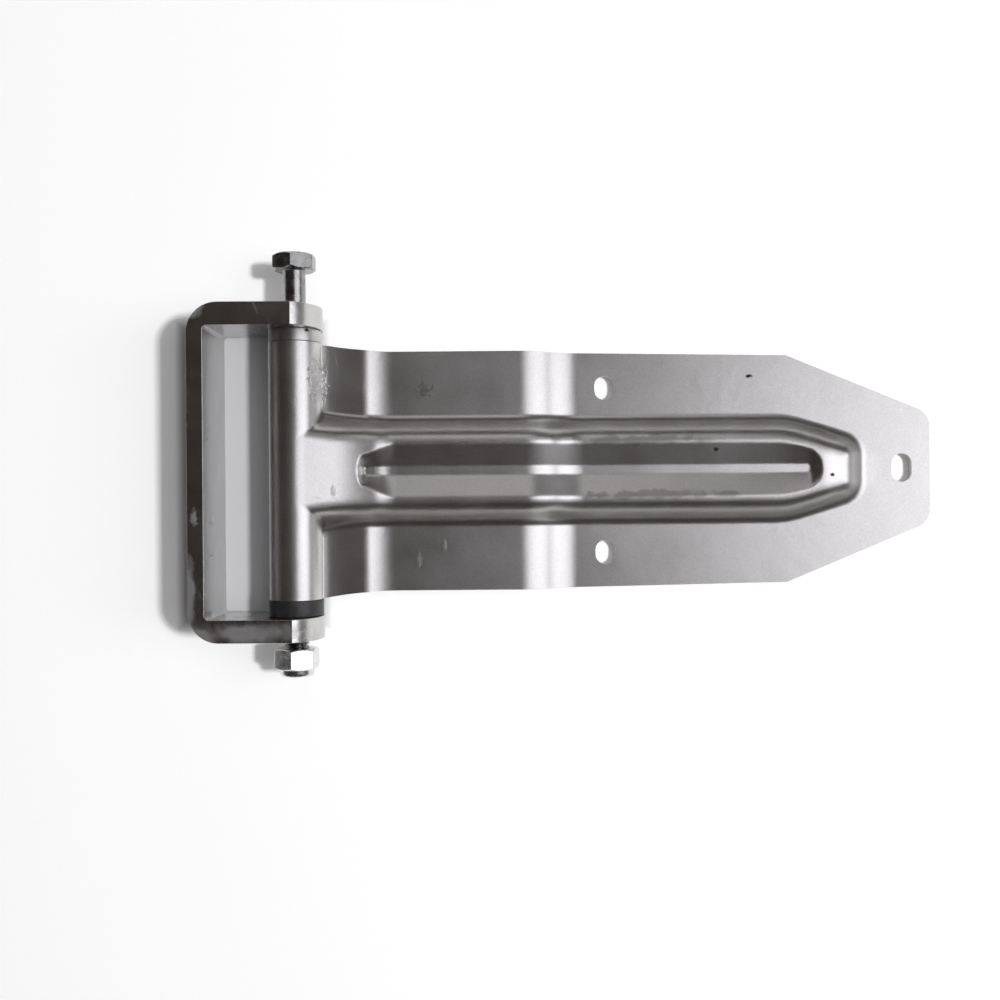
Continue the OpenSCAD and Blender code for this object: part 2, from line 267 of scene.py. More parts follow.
STEP_DROP = BAR_W / 2 - SHEET_T - FLANGE_DROP
STEP_RUN = STEP_DROP / math.tan(STEP_ANGLE)
STEP_BEND = STEP_BEND_SHARE * STEP_RUN
FLANGE_LINE = [
    (0, ROOT_LIFT - FLANGE_DROP, 0),
    (ROOT_LEN, ROOT_LIFT - FLANGE_DROP, BEND),
    (BEAD_X, BEAD_H - FLANGE_DROP, BEAD_BEND),
    (BEAD_X + BEAD_H / math.tan(BEAD_ANGLE), -FLANGE_DROP, BEAD_FOOT_BEND),
    (STEP_X, -FLANGE_DROP, STEP_BEND),
    (STEP_X + STEP_RUN, -FLANGE_DROP - STEP_DROP, STEP_BEND),
    (STRAP_LEN + 1, -FLANGE_DROP - STEP_DROP, 0),
]
CREST_Z = RIB_H - FLANGE_DROP
PLATEAU_START = BARREL_R / math.cos(PLATEAU_ANGLE) - PLATEAU_SINK
PLATEAU_END = PLATEAU_START - PLATEAU_LEN * math.tan(PLATEAU_ANGLE)
EASY_END = PLATEAU_END - EASY_LEN * math.tan(EASY_ANGLE)
RAMP_FOOT = PLATEAU_LEN + EASY_LEN + (EASY_END - CREST_Z) / math.tan(RAMP_ANGLE)
CREST_LINE = [
    (0, PLATEAU_START, 0),
    (PLATEAU_LEN, PLATEAU_END, PLATEAU_BEND),
    (PLATEAU_LEN + EASY_LEN, EASY_END, EASY_BEND),
    (RAMP_FOOT, CREST_Z, FOOT_BEND),
    (STEP_X + RIB_LAG, CREST_Z, STEP_BEND),
    (STEP_X + RIB_LAG + STEP_RUN, CREST_Z - STEP_DROP, STEP_BEND),
    (RIB_END - NOSE_RUN, CREST_Z - STEP_DROP, BEND),
    (RIB_END, CREST_Z - STEP_DROP - NOSE_RUN * math.tan(NOSE_ANGLE), 0),
]
WALL_LINE = [
    (-WALL_RUN, 0, 0),
    (0, 0, WALL_FOOT_EASE),
    (WALL_RUN, RIB_H - EDGE_DROP, WALL_TOP_EASE),
    (CREST_IN, RIB_H, CREST_EDGE_EASE),
    (RIB_HALF, RIB_H, 0),
]
TROUGH_SLOPE = TROUGH_H / (RIB_HALF - CREST_IN - GROOVE_HALF)
TROUGH_FULL = RAMP_FOOT + TROUGH_FULL_PAST
CORNER_TURN = math.pi / 2 - TIP_ANGLE
CORNER_RUN = TIP_R * math.tan(CORNER_TURN / 2)
CORNER_X = STRAP_LEN - CORNER_RUN * math.cos(TIP_ANGLE)
CORNER_Y = SHOULDER_HALF - (STRAP_LEN - SHOULDER_X) * math.tan(TIP_ANGLE) - CORNER_RUN
RIB_CORNER_X = RIB_END - RIB_CORNER
RIB_CORNER_Y = RIB_HALF - (
    RIB_CORNER + math.sin(RIB_TAPER) * (RIB_CORNER_X - SHOULDER_X)
) / math.cos(RIB_TAPER)


def outline(x):
    """Half width of the strap at x."""
    near = np.clip((FLARE_START + FLARE_LEN - x) / FLARE_LEN, 0, 1)
    flared = STRAP_HALF + (BARREL_HALF - STRAP_HALF) * near ** 2
    narrowing = STRAP_HALF + (SHOULDER_HALF - STRAP_HALF) * (x - STEP_X) / (SHOULDER_X - STEP_X)
    sloping = SHOULDER_HALF - (x - SHOULDER_X) * math.tan(TIP_ANGLE)
    rounded = CORNER_Y + np.sqrt(np.maximum(0, TIP_R ** 2 - (x - STRAP_LEN + TIP_R) ** 2))
    return np.where(x <= STEP_X, flared,
                    np.where(x <= SHOULDER_X, narrowing, np.where(x <= CORNER_X, sloping, rounded)))


def rib_inside(x, y):
    """Distance inside the rib's foot, negative outside it."""
    y = np.abs(y)
    side = RIB_HALF + RIB_FLARE * np.maximum(0, 1 - x / RIB_FLARE_LEN) ** 2 - y
    taper = math.cos(RIB_TAPER) * (RIB_HALF - y) - math.sin(RIB_TAPER) * (x - SHOULDER_X)
    across, up = x - RIB_CORNER_X, y - RIB_CORNER_Y
    in_corner = (up > 0) & (across * math.cos(RIB_TAPER) > up * math.sin(RIB_TAPER))
    end = np.where(in_corner, RIB_CORNER - np.hypot(across, up), np.minimum(taper, RIB_END - x))
    return np.minimum(side, end) - np.maximum(RIB_BLEND - np.abs(side - end), 0) ** 2 / (4 * RIB_BLEND)


def trough(x, y, wider):
    """Depth of the rib's trough, which starts and ends narrower than it runs."""
    share = np.clip((x - TROUGH_START) / (TROUGH_FULL - TROUGH_START), 0, 1)
    closing = np.clip((TROUGH_END + TROUGH_END_MARGIN - x) / TROUGH_END_RUN, 0.02, 1)
    past_end = TROUGH_END_STEEP * np.maximum(0, x - TROUGH_END)
    before_start = TROUGH_START_STEEP * np.maximum(0, TROUGH_START - x)
    away = np.hypot(np.maximum(past_end, before_start), y) - GROOVE_HALF - wider
    deep = TROUGH_START_H + (TROUGH_H - TROUGH_START_H) * share
    full_reach = RIB_HALF - CREST_IN
    reach = TROUGH_START_HALF + (full_reach - TROUGH_START_HALF) * np.minimum(share, closing ** 0.5)
    slope = deep / (reach - GROOVE_HALF)
    return ramp(deep - slope * ramp(away, TROUGH_EASE), TROUGH_EDGE_EASE * slope)


def sheet_height(x, y, under=False):
    """Height of the sheet's top, or of its underside, at x along and y across the strap."""
    t = SHEET_T if under else 0
    flange = below(FLANGE_LINE, t) if under else FLANGE_LINE
    crest = below(CREST_LINE, t) if under else CREST_LINE
    wall = below(WALL_LINE, t) if under else WALL_LINE
    low, high = eased(x, flange), eased(x, crest)
    wider = t * math.tan(math.atan(TROUGH_SLOPE) / 2)
    share = (eased(rib_inside(x, y), wall) + t) / RIB_H
    return low + (high - low) * share - trough(x, y, wider)


# Mesh helpers

def mesh_in_mm(name, points, faces):
    """A mesh from points in millimetres."""
    mesh = bpy.data.meshes.new(name)
    mesh.from_pydata([tuple(c * MM for c in p) for p in points], [], faces)
    return mesh


def cleaned(mesh, weld=0, sliver=0):
    """The mesh with near points welded, slivers dropped and all faces turned outwards."""
    work = bmesh.new()
    work.from_mesh(mesh)
    if weld:
        bmesh.ops.remove_doubles(work, verts=work.verts, dist=weld * MM)
    if sliver:
        bmesh.ops.dissolve_degenerate(work, edges=work.edges, dist=sliver * MM)
    bmesh.ops.recalc_face_normals(work, faces=work.faces)
    work.to_mesh(mesh)
    work.free()
    return mesh


def finish_object(name, mesh, body, node, material, smooth_angle=35):
    """The mesh becomes a piece that rides on its body and stands for its node."""
    cleaned(mesh, WELD, SLIVER)
    mesh.validate()
    mesh.shade_smooth()
    mesh.set_sharp_from_angle(angle=math.radians(smooth_angle))
    mesh.materials.append(material)
    piece = bpy.data.objects.new(name, mesh)
    bpy.context.scene.collection.objects.link(piece)
    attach(piece, body)
    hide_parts(node)
    return piece


def grid_faces(rows, cols, close_cols=False):
    """Faces between rows of points, the last column joined to the first if asked."""
    faces = []
    wide = cols if close_cols else cols - 1
    for i in range(rows - 1):
        for j in range(wide):
            k = (j + 1) % cols
            faces.append((i * cols + j, i * cols + k, (i + 1) * cols + k, (i + 1) * cols + j))
    return faces


def arc(cx, cy, r, start, end, n):
    """Points on an arc, in n steps."""
    return [(cx + r * math.cos(start + (end - start) * i / n),
             cy + r * math.sin(start + (end - start) * i / n)) for i in range(n + 1)]


def on_pin(points):
    """Points given as distance along the bolt, radius and angle, placed round the bolt's axis."""
    return [(PIN_X + r * math.sin(a), y, r * math.cos(a)) for y, r, a in points]


def round_faces(turns, n):
    """Faces between closed lines of n points that are set round the bolt."""
    faces = []
    for k in range(turns):
        q = (k + 1) % turns
        for i in range(n):
            m = (i + 1) % n
            faces.append((k * n + i, k * n + m, q * n + m, q * n + i))
    return faces


def turned(profile, turns=TURN_STEPS):
    """A closed profile of (distance along the bolt, radius), turned round the bolt's axis."""
    points = []
    for k in range(turns):
        a = 2 * math.pi * k / turns
        points += [(y, r, a) for y, r in profile]
    return on_pin(points), round_faces(turns, len(profile))


def softened(corners, r):
    """A closed outline with each of its corners rounded by r."""
    rounded = []
    for i, p in enumerate(corners):
        before, after = Vector(corners[i - 1]), Vector(corners[(i + 1) % len(corners)])
        p = Vector(p)
        u, v = (before - p).normalized(), (after - p).normalized()
        turn = math.pi - u.angle(v)
        run = min(r * math.tan(turn / 2), (before - p).length * 0.45, (after - p).length * 0.45)
        real_r = run / math.tan(turn / 2)
        middle = p + (u + v).normalized() * real_r / math.cos(turn / 2)
        start, end = p + u * run - middle, p + v * run - middle
        for k in range(EDGE_STEPS + 1):
            share = k / EDGE_STEPS
            d = (start * math.sin((1 - share) * turn) + end * math.sin(share * turn)) / math.sin(turn)
            rounded.append(tuple(middle + d))
    return rounded


def cut_with(mesh, cutters, keep_common=False):
    """The mesh with each cutter taken away from it, or the part that it has in common with them."""
    target = bpy.data.objects.new("blank", mesh)
    bpy.context.scene.collection.objects.link(target)
    tools = []
    for k, (points, faces) in enumerate(cutters):
        shape = cleaned(mesh_in_mm(f"cutter_{k}", points, faces))
        tool = bpy.data.objects.new(f"cutter_{k}", shape)
        bpy.context.scene.collection.objects.link(tool)
        tools.append(tool)
        cut = target.modifiers.new(f"cut_{k}", "BOOLEAN")
        cut.operation = "INTERSECT" if keep_common else "DIFFERENCE"
        cut.solver = "EXACT"
        cut.object = tool
    bpy.context.view_layer.update()
    cut_mesh = bpy.data.meshes.new_from_object(
        target.evaluated_get(bpy.context.evaluated_depsgraph_get()))
    for tool in tools:
        bpy.data.objects.remove(tool)
    bpy.data.objects.remove(target)
    return cut_mesh


def prism(outline_points, low, high, lift):
    """A closed outline raised from low to high; lift places a point of the outline at a height."""
    n = len(outline_points)
    points = [lift(p, low) for p in outline_points] + [lift(p, high) for p in outline_points]
    faces = [tuple(range(n)), tuple(range(2 * n - 1, n - 1, -1))]
    faces += [(i, i + n, (i + 1) % n + n, (i + 1) % n) for i in range(n)]
    return points, faces


def bevel(piece, width, segments, angle):
    """The piece with its edges sharper than the angle rounded by width."""
    edge = piece.modifiers.new("edge_round", "BEVEL")
    edge.width = width * MM
    edge.segments = segments
    edge.limit_method = "ANGLE"
    edge.angle_limit = math.radians(angle)
    edge.harden_normals = True
    return piece


# Pieces

def strap(material):
    """The ribbed sheet and its rolled barrel as one loop of points for each line along it."""
    rib_share = 0.5
    share = np.concatenate([
        np.linspace(-1, -rib_share, 10), np.linspace(-0.49, 0.49, 133), np.linspace(rib_share, 1, 10)])

    def narrowing(x):
        """The rib's width at x, as a share of its full width."""
        return np.maximum(RIB_HALF - np.maximum(0, np.minimum(x, RIB_END) - SHOULDER_X)
                          * math.tan(RIB_TAPER), 1) / RIB_HALF

    def across(x):
        """Places across the strap at x: the inner ones keep to the rib, the outer ones to the edge."""
        half = outline(x)
        inner_edge = rib_share * STRAP_HALF * narrowing(x)
        inner = share / rib_share * inner_edge
        past = (np.abs(share) - rib_share) / (1 - rib_share)
        outer = np.sign(share) * (inner_edge + past * (half - inner_edge))
        return np.where(np.abs(share) <= rib_share, inner, outer)

    def crossings(under):
        """For each line across, the place where the sheet meets the barrel."""
        found = []
        for s in range(len(share)):
            low, high = 2.0, BARREL_R + (0.5 if under else 0)
            for _ in range(40):
                middle = (low + high) / 2
                y = across(np.array(middle))[s]
                z = float(sheet_height(np.array(middle), y, under))
                inside = middle ** 2 + z ** 2 < BARREL_R ** 2
                low, high = (middle, high) if inside else (low, middle)
            y = across(np.array(low))[s]
            found.append(((low + high) / 2, float(sheet_height(np.array(low), y, under))))
        return np.array(found)

    top_meet, under_meet = crossings(False), crossings(True)
    near_end = RAMP_FOOT + 6
    step_margin, shoulder_margin, end_margin = 7, 4, 2
    stops = [(STEP_X - step_margin, 5), (STEP_X + STEP_RUN + RIB_LAG + step_margin, 44),
             (SHOULDER_X - shoulder_margin, 8), (RIB_END + end_margin, 56), (CORNER_X, 4)]
    starts = [near_end] + [place for place, steps in stops[:-1]]
    spans = [np.linspace(start, place, steps)[1:] for start, (place, steps) in zip(starts, stops)]
    tip_start = math.asin((CORNER_X - STRAP_LEN + TIP_R) / TIP_R)
    tip = STRAP_LEN - TIP_R + TIP_R * np.sin(np.linspace(tip_start, math.pi / 2, TIP_STEPS))[1:]
    far = np.concatenate(spans + [tip])

    def face(meet, under):
        """The sheet's top or underside, line by line, from the barrel to the tip."""
        rows = []
        for s in range(len(share)):
            x = np.concatenate([np.linspace(meet[s, 0], near_end, NEAR_STEPS), far])
            y = np.array([across(v)[s] for v in x])
            z = sheet_height(x, y, under)
            rows.append(np.stack([x, y, z], 1))
        return rows

    top, bottom = face(top_meet, False), face(under_meet, True)
    rows = []
    for s in range(len(share)):
        start = math.atan2(top_meet[s, 1], top_meet[s, 0])
        end = math.atan2(under_meet[s, 1], under_meet[s, 0]) + 2 * math.pi
        a = np.linspace(start, end, BARREL_STEPS + 1)[1:-1]
        from_seam = np.abs(a - 2 * math.pi - SEAM_ANGLE)
        r = BARREL_R - SEAM_DEPTH * np.maximum(0, 1 - from_seam / SEAM_HALF)
        y = np.full_like(a, across(np.array(top_meet[s, 0]))[s])
        barrel = np.stack([r * np.cos(a), y, r * np.sin(a)], 1)
        rows.append(np.concatenate([top[s][::-1], barrel, bottom[s]]))
    loop = np.array(rows)
    rows_n, loop_n = loop.shape[:2]
    loop = eased_junction(loop, len(top[0]))
    points = loop.reshape(-1, 3).tolist()
    faces = grid_faces(rows_n, loop_n)
    faces += [(s * loop_n, (s + 1) * loop_n, (s + 1) * loop_n + loop_n - 1, s * loop_n + loop_n - 1)
              for s in range(rows_n - 1)]
    bore_at = len(points)
    for side in (-1, 1):
        for k in range(TURN_STEPS):
            a = 2 * math.pi * k / TURN_STEPS
            points.append((BORE_R * math.cos(a), side * BARREL_HALF, BORE_R * math.sin(a)))
    upper_at = bore_at + TURN_STEPS
    for k in range(TURN_STEPS):
        q = (k + 1) % TURN_STEPS
        faces.append((bore_at + k, bore_at + q, upper_at + q, upper_at + k))
    n_face = len(top[0])
    for bore_start, row in ((bore_at, 0), (upper_at, rows_n - 1)):
        base = row * loop_n
        for i in range(n_face - 1):
            faces.append((base + i, base + i + 1, base + loop_n - 2 - i, base + loop_n - 1 - i))
        outer = [base + n_face - 1 + k for k in range(BARREL_STEPS + 1)]
        faces += end_ring(points, outer, [bore_start + k for k in range(TURN_STEPS)])
    points = [(PIN_X + x, BARREL_Y + y, z) for x, y, z in points]
    blank = cleaned(mesh_in_mm("strap_blank", points, faces), WELD)
    mesh = cut_with(blank, [slot_cutter(*slot) for slot in SLOTS])
    piece = finish_object("strap_pressed", mesh, "leaf", "strap", material)
    return bevel(piece, 0.45, 2, 45)


def eased_junction(loop, n_top):
    """Rounds the lines where the sheet's top and underside meet the barrel."""
    weight = np.zeros(loop.shape[1])
    for at in (n_top - 1, n_top + BARREL_STEPS - 1):
        away = np.abs(np.arange(loop.shape[1]) - at)
        weight = np.maximum(weight, np.clip(1 - away / 4, 0, 1))
    for _ in range(5):
        middle = (np.roll(loop, 1, 1) + np.roll(loop, -1, 1)) / 2
        move = (middle - loop) * 0.5 * weight[None, :, None]
        move[:, :, 1] = 0
        loop = loop + move
    return loop


def end_ring(points, outer, inner):
    """Fills between a ring of outer points and a ring of inner points, by angle."""

    def angle(i):
        return math.atan2(points[i][2], points[i][0]) % (2 * math.pi)

    outer = sorted(outer, key=angle)
    inner = sorted(inner, key=angle)
    faces = []
    i = j = 0
    n, m = len(outer), len(inner)
    while i < n or j < m:
        a_out = angle(outer[(i + 1) % n]) + (2 * math.pi if i + 1 >= n else 0)
        a_in = angle(inner[(j + 1) % m]) + (2 * math.pi if j + 1 >= m else 0)
        if j >= m or (i < n and a_out < a_in):
            faces.append((outer[i % n], outer[(i + 1) % n], inner[j % m]))
            i += 1
        else:
            faces.append((outer[i % n], inner[(j + 1) % m], inner[j % m]))
            j += 1
    return faces


def slot_cutter(x, y, width, length):
    """A slot through the sheet, long across the strap."""
    reach = (length - width) / 2
    cx, cy = PIN_X + x, BARREL_Y + y
    shape = arc(cx, cy + reach, width / 2, 0, math.pi, SLOT_STEPS)
    shape += arc(cx, cy - reach, width / 2, math.pi, 2 * math.pi, SLOT_STEPS)
    return prism(shape, TABLE_Z - CUT_MARGIN, 0, lambda p, z: (p[0], p[1], z))


def bracket(material):
    """The bent bar, cut to its rounded arm ends and bored through both arms."""
    quarter = math.pi / 2
    outer_y, inner_y = ARM_OUT, ARM_GAP_HALF
    past_end = ARM_END + CUT_MARGIN
    shape = [(past_end, -outer_y)]
    shape += arc(CORNER_R, -outer_y + CORNER_R, CORNER_R, -quarter, -2 * quarter, CORNER_STEPS)
    shape += arc(CORNER_R, outer_y - CORNER_R, CORNER_R, 2 * quarter, quarter, CORNER_STEPS)
    shape += [(past_end, outer_y), (past_end, inner_y)]
    shape += arc(WEB_T + INNER_R, inner_y - INNER_R, INNER_R, quarter, 2 * quarter, INNER_STEPS)
    shape += arc(WEB_T + INNER_R, -inner_y + INNER_R, INNER_R, 2 * quarter, 3 * quarter, INNER_STEPS)
    shape += [(past_end, -inner_y)]
    points, faces = prism(shape, BRACKET_LOW[2], BRACKET_HIGH[2], lambda p, z: (p[0], p[1], z))
    mesh = mesh_in_mm("bracket_blank", points, faces)
    half = BAR_W / 2
    nose_r = (half ** 2 + NOSE_ARC ** 2) / (2 * NOSE_ARC)
    reach = math.asin(half / nose_r)
    side = arc(ARM_END - nose_r, 0, nose_r, -reach, reach, NOSE_STEPS)
    side += [(-CUT_MARGIN, half + 0.001), (-CUT_MARGIN, -half - 0.001)]
    keep = prism(side, -outer_y - CUT_MARGIN, outer_y + CUT_MARGIN, lambda p, y: (p[0], y, p[1]))
    mesh = cut_with(mesh, [keep], keep_common=True)
    turns = [2 * math.pi * k / BORE_STEPS for k in range(BORE_STEPS)]
    circle = [(PIN_X + ARM_BORE_D / 2 * math.cos(a), ARM_BORE_D / 2 * math.sin(a)) for a in turns]
    bore = prism(circle, -outer_y - 2 * CUT_MARGIN, outer_y + 2 * CUT_MARGIN, lambda p, y: (p[0], y, p[1]))
    mesh = cut_with(mesh, [bore])
    piece = finish_object("bracket_bar", mesh, "frame", "bracket", material, 25)
    return bevel(piece, BAR_EDGE, 3, 25)


def ring(name, low, high, outer, inner, edge, body, node, material):
    """A plain ring on the bolt, with rounded edges."""
    profile = softened([(low, inner), (low, outer), (high, outer), (high, inner)], edge)
    mesh = mesh_in_mm(name, *turned(profile))
    return finish_object(name, mesh, body, node, material)


def hex_radius(a, af, corner):
    """Distance to a hexagon's side at angle a, with its corners rounded."""
    half = af / 2
    a = (a + math.pi / 6) % (math.pi / 3) - math.pi / 6
    straight = half / math.cos(a)
    reach = math.tan(math.pi / 6) * half - corner * math.tan(math.pi / 6)
    if abs(half * math.tan(a)) <= reach:
        return straight
    cx, cy = half - corner, reach
    b = -2 * (cx * math.cos(a) + cy * abs(math.sin(a)))
    c = cx * cx + cy * cy - corner * corner
    return (-b + math.sqrt(max(0, b * b - 4 * c))) / 2


def hexagon(low, high, af, turn, inner):
    """A hexagon along the bolt, its corners turned off by cones, open at the middle to inner."""
    face_r = af / 2 - HEX_FACE_IN
    points = []
    angles = []
    for side in range(6):
        start = side * math.pi / 3 - math.pi / 6
        angles += [start + math.pi / 3 * share for share in HEX_SHARES]
    for a in angles:
        r = hex_radius(a, af, HEX_CORNER_R)
        turned_off = max(0, r - face_r) * math.tan(HEX_CHAMFER)
        low_side, high_side, end_r = low + turned_off, high - turned_off, min(face_r, r)
        line = [(low, inner), (low, (inner + end_r) / 2), (low, end_r), (low_side + HEX_EDGE, r),
                ((low_side + high_side) / 2, r), (high_side - HEX_EDGE, r), (high, end_r),
                (high, (inner + end_r) / 2), (high, inner)]
        points += [(y, reach, a + turn) for y, reach in line]
    return on_pin(points), round_faces(len(angles), len(line))


def joined(*meshes):
    """Several meshes as one list of points and one of faces."""
    points, faces = [], []
    for p, f in meshes:
        base = len(points)
        points += p
        faces += [tuple(i + base for i in face) for face in f]
    return points, faces


def thread(low, high):
    """The bolt's helical thread from low to high, running out at both ends."""
    turns = THREAD_TURN_STEPS
    rows = int((high - low) / PITCH * THREAD_STEPS)
    points = []
    for i in range(rows + 1):
        y = low + (high - low) * i / rows
        full = min(1, (y - low) / THREAD_RUN_IN, (high - y) / THREAD_RUN_OUT)
        depth = THREAD_DEPTH_SHARE * PITCH * (THREAD_END_DEPTH + (1 - THREAD_END_DEPTH) * full)
        start_r = THREAD_R - THREAD_POINT_CUT * max(0, 1 - (y - low) / THREAD_POINT_LEN)
        for k in range(turns):
            phase = (y / PITCH - k / turns) % 1
            crest = min(1, max(0, abs(phase - 0.5) * 2 * THREAD_FLANK - THREAD_ROOT))
            points.append((y, min(start_r, THREAD_R - depth * (1 - crest)), 2 * math.pi * k / turns))
    faces = grid_faces(rows + 1, turns, close_cols=True)
    faces += [tuple(range(turns)), tuple(range((rows + 1) * turns - 1, rows * turns - 1, -1))]
    return on_pin(points), faces


def bolt(material):
    """Hexagon head, plain shank with a fillet under the head, and thread."""
    head_under = BOLT_HIGH[1] - HEAD_H
    thread_top = BOLT_LOW[1] + THREAD_LEN
    head = hexagon(head_under, BOLT_HIGH[1], HEAD_AF, HEAD_TURN, HEAD_CORE_R)
    fillet = [(head_under - fall, SHANK_R + wider) for fall, wider in HEAD_FILLET]
    shank_low = thread_top - SHANK_SINK
    shank = turned([(shank_low, SHANK_CORE_R), (shank_low, SHANK_R)] + fillet
                   + [(fillet[-1][0], SHANK_CORE_R)], BORE_STEPS)
    mesh = mesh_in_mm("bolt_turned", *joined(head, shank, thread(BOLT_LOW[1], thread_top)))
    return finish_object("bolt_turned", mesh, "pin", "hinge_bolt", material, 30)


def nut(material):
    """Hexagon with a rounded collar below it, its lip turned in over the nylon ring."""
    low, hex_low = NUT_LOW[1], NUT_HIGH[1] - NUT_HEX_H
    grip = hexagon(hex_low, NUT_HIGH[1], NUT_AF, NUT_TURN, THREAD_R + NUT_FIT)
    seat_r, collar_top, wall_top = THREAD_R + NUT_SEAT, hex_low + NUT_COLLAR_SINK, hex_low - NUT_FIT
    lip_r, wall_r, lip_top = NUT_COLLAR_R - NUT_LIP_IN, NUT_COLLAR_R - NUT_COLLAR_WALL, low + NUT_LIP_T
    profile = [(collar_top, seat_r), (collar_top, NUT_COLLAR_R + NUT_COLLAR_OVER)]
    profile += arc(low + NUT_COLLAR_ROUND, NUT_COLLAR_R - NUT_COLLAR_ROUND, NUT_COLLAR_ROUND,
                   math.pi / 2, math.pi, INNER_STEPS)
    profile += [(low, lip_r), (lip_top, lip_r), (lip_top, wall_r), (wall_top, wall_r), (wall_top, seat_r)]
    mesh = mesh_in_mm("nut_pressed", *joined(grip, turned(profile)))
    return finish_object("nut_pressed", mesh, "pin", "lock_nut", material, 30)


# Marks in the photo: x, y, half length and half width in millimetres, raggedness and its scale

STRAP_SPECKS = [(225.8, 39.3, 1.5, 0.9, 0.35, 600), (210.6, 8.6, 1.5, 1.2, 0.6, 700),
                (257.8, -2.2, 1.1, 0.8, 0.4, 700)]
STRAP_STAINS = [(180, 12.8, 32, 2.3, 0.9, 160), (186, -9.6, 29, 1.9, 0.9, 160),
                (91, 33.6, 3.6, 3.2, 0.9, 700)]
ROOT_TEARS = [(48.6, 37.8, 2.8, 9, 0.5, 500)]
STRAP_SCUFFS = [(40, 28, 1.8, 1.4, 0.4, 800), (55.4, -7.4, 1.2, 3, 0.4, 800),
                (88, -36, 1.4, 3.4, 0.4, 800), (98.7, -30, 1.2, 2.6, 0.4, 800)]
# Bracket corners and arm edge: rougher wear, plus a paler colour that paints the highlight where they catch
# the light
BRACKET_WEAR_AND_HIGHLIGHTS = [(1.5, -63.5, 10, 7, 0.3, 160), (1.5, 65, 6, 5, 0.3, 200),
                  (24, -62.5, 24, 5, 0.35, 120), (0.5, -46, 3, 16, 0.35, 120),
                  (2.6, -17.3, 1.6, 3.2, 0.5, 700)]
# The collar's pit is sunk by bump and coloured near black; the black is painted shade of its hollow
COLLAR_PITS = [(45.5, 56.7, 1.0, 0.8, 0.3, 900)]
ANY_HEIGHT = 1.0
# The floor's painted shade inside the bracket and close to its left, grey and not lifted there: middle, half
# sizes and soft edge in millimetres
PAINTED_SHADE_BOX = (18, 0, 29, 62)
PAINTED_SHADE_EDGE = 4
FLOOR_LIFT = 0.12


# Finishes

def add(tree, kind, inputs=None, **settings):
    """One node, with its settings, and each input given as a value or as the socket that feeds it."""
    node = tree.nodes.new(kind)
    for name, value in settings.items():
        setattr(node, name, value)
    for name, value in (inputs or {}).items():
        if isinstance(value, bpy.types.NodeSocket):
            tree.links.new(value, node.inputs[name])
        else:
            node.inputs[name].default_value = value
    return node


def math_node(tree, operation, a, b=0.0):
    """The outcome of one sum on values or sockets."""
    return add(tree, "ShaderNodeMath", {0: a, 1: b}, operation=operation).outputs[0]


def scaled(tree, mask, share):
    """A mask times a share."""
    return math_node(tree, "MULTIPLY", mask, share)


def plus(tree, base, *shares):
    """The base with each mask of (mask, share) added to it by its share."""
    for mask, share in shares:
        base = math_node(tree, "ADD", base, scaled(tree, mask, share))
    return base


def remap(tree, value, low, high, out_low=0.0, out_high=1.0):
    """The value from low to high stretched to the output's range, and held to it."""
    return add(tree, "ShaderNodeMapRange", {"Value": value, "From Min": low, "From Max": high,
                                            "To Min": out_low, "To Max": out_high}).outputs["Result"]


def blend_colour(tree, share, a, b):
    """Colour a turning into colour b by the share; each is three numbers or a socket."""
    mix = add(tree, "ShaderNodeMix", {"Factor": share}, data_type="RGBA")
    for socket, colour in ((mix.inputs[6], a), (mix.inputs[7], b)):
        if isinstance(colour, bpy.types.NodeSocket):
            tree.links.new(colour, socket)
        else:
            socket.default_value = (*colour, 1)
    return mix.outputs[2]


def new_group(name, inputs, output):
    """An effect with named inputs, each with its usual value, and one named output."""
    tree = bpy.data.node_groups.new(name, "ShaderNodeTree")
    for label, value in inputs.items():
        kind = "NodeSocketVector" if isinstance(value, tuple) else "NodeSocketFloat"
        tree.interface.new_socket(name=label, in_out="INPUT", socket_type=kind).default_value = value
    tree.interface.new_socket(name=output, in_out="OUTPUT", socket_type="NodeSocketFloat")
    return tree, tree.nodes.new("NodeGroupInput").outputs, tree.nodes.new("NodeGroupOutput").inputs


def grain_group():
    """Fine even grain of a pressed or moulded skin; Scale is grains to a metre."""
    tree, given, out = new_group("fine_grain", {"Place": (0, 0, 0), "Scale": 2500.0}, "Height")
    noise = add(tree, "ShaderNodeTexNoise", {"Vector": given["Place"], "Scale": given["Scale"],
                                             "Detail": 2.0, "Roughness": 0.6})
    tree.links.new(noise.outputs["Fac"], out["Height"])
    return tree


def cloud_group():
    """Slow, soft change of tone from handling and oil."""
    tree, given, out = new_group("soft_clouds", {"Place": (0, 0, 0), "Scale": 45.0, "Contrast": 2.0}, "Tone")
    noise = add(tree, "ShaderNodeTexNoise", {"Vector": given["Place"], "Scale": given["Scale"],
                                             "Detail": 4.0, "Roughness": 0.55, "Distortion": 0.4})
    away = math_node(tree, "SUBTRACT", noise.outputs["Fac"], 0.5)
    strong = math_node(tree, "MULTIPLY", away, given["Contrast"])
    tree.links.new(math_node(tree, "ADD", strong, 0.5), out["Tone"])
    return tree


